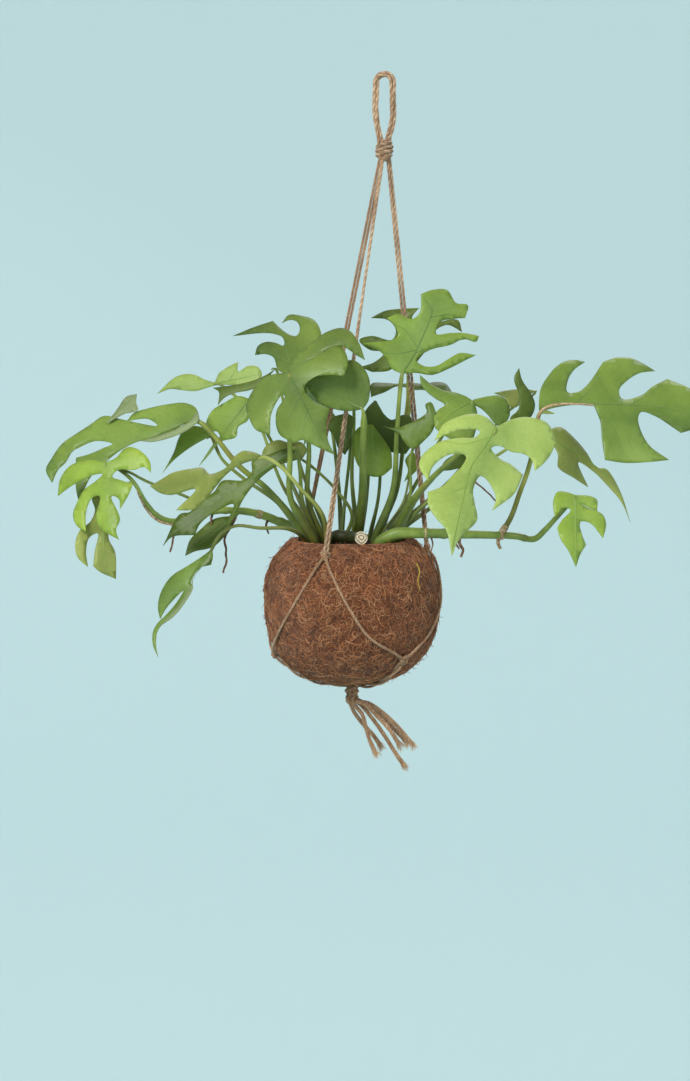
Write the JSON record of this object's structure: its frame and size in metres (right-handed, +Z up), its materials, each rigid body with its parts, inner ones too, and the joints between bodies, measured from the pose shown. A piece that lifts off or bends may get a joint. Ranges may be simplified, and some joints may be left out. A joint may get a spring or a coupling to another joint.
{
  "type": "hanging kokedama house plant",
  "caption": "Hanging kokedama: a mini monstera with deeply split leaves and creeping stems, rooted in a coir ball that hangs in a knotted jute sling with a top loop and a frayed tassel.",
  "frame": {"origin": "inside of the hanging loop, at its top, where a hook carries the plant", "axes": "+Z up along the line the plant hangs on, +X to the right, -Y to the front that the picture shows"},
  "size_m": [0.5861, 0.2948, 0.5896],
  "materials": {
    "jute": "matte twisted jute cord",
    "coir": "rough felted coconut fibre",
    "soil": "damp crumbly potting soil",
    "stem": "green stem with dry sheaths, satin",
    "leaf_green": "soft gloss leaf, paler underside",
    "leaf_dark": "soft gloss leaf, paler underside",
    "leaf_lime": "soft gloss young leaf",
    "leaf_olive": "matte pale underside of a leaf"
  },
  "bodies": {
    "root": {"hanging_loop": "jute", "top_knot": "jute", "bottom_knot": "jute", "shoulder_knot_front": "jute", "shoulder_knot_right": "jute", "shoulder_knot_back": "jute", "lower_knot_right": "jute", "lower_knot_back": "jute", "lower_knot_left": "jute", "upper_cords_front": "jute", "upper_cords_right": "jute", "upper_cords_back": "jute", "under_cords_right": "jute", "under_cords_back": "jute", "under_cords_left": "jute", "net_cord_front_right": "jute", "net_cord_front_left": "jute", "net_cord_right_back": "jute", "net_cord_right_right": "jute", "net_cord_back_left": "jute", "net_cord_back_back": "jute", "tassel_cord_left": "jute", "tassel_cord_front": "jute", "tassel_cord_right": "jute", "tassel_cord_long": "jute", "tassel_cord_back": "jute", "tassel_cord_short": "jute", "coir_ball": "coir", "soil": "soil", "runner_right": "stem", "runner_left": "stem", "cut_stub": "stem", "leaf_front_left": "leaf_green", "leaf_top_left": "leaf_green", "leaf_centre_back": "leaf_green", "leaf_bright_centre": "leaf_lime", "leaf_dark_centre": "leaf_dark", "leaf_small_centre": "leaf_green", "leaf_right_mid": "leaf_green", "leaf_dark_pointed": "leaf_dark", "leaf_front_right": "leaf_lime", "leaf_right_olive": "leaf_olive", "leaf_top_right": "leaf_green", "leaf_top_right_behind": "leaf_dark", "leaf_back_right": "leaf_dark", "leaf_grey_behind": "leaf_olive", "leaf_young": "leaf_lime", "leaf_right_low": "leaf_dark", "leaf_far_left": "leaf_green", "leaf_left_upper_pale": "leaf_lime", "leaf_left_strip": "leaf_dark", "leaf_left_bright_upper": "leaf_lime", "leaf_left_bright_lower": "leaf_lime", "leaf_left_olive": "leaf_olive", "leaf_left_dark": "leaf_dark", "leaf_drooping": "leaf_green", "leaf_curled": "leaf_olive", "leaf_back_dark": "leaf_dark", "leaf_back_left": "leaf_green", "leaf_back_middle": "leaf_green"}
  },
  "joints": []
}
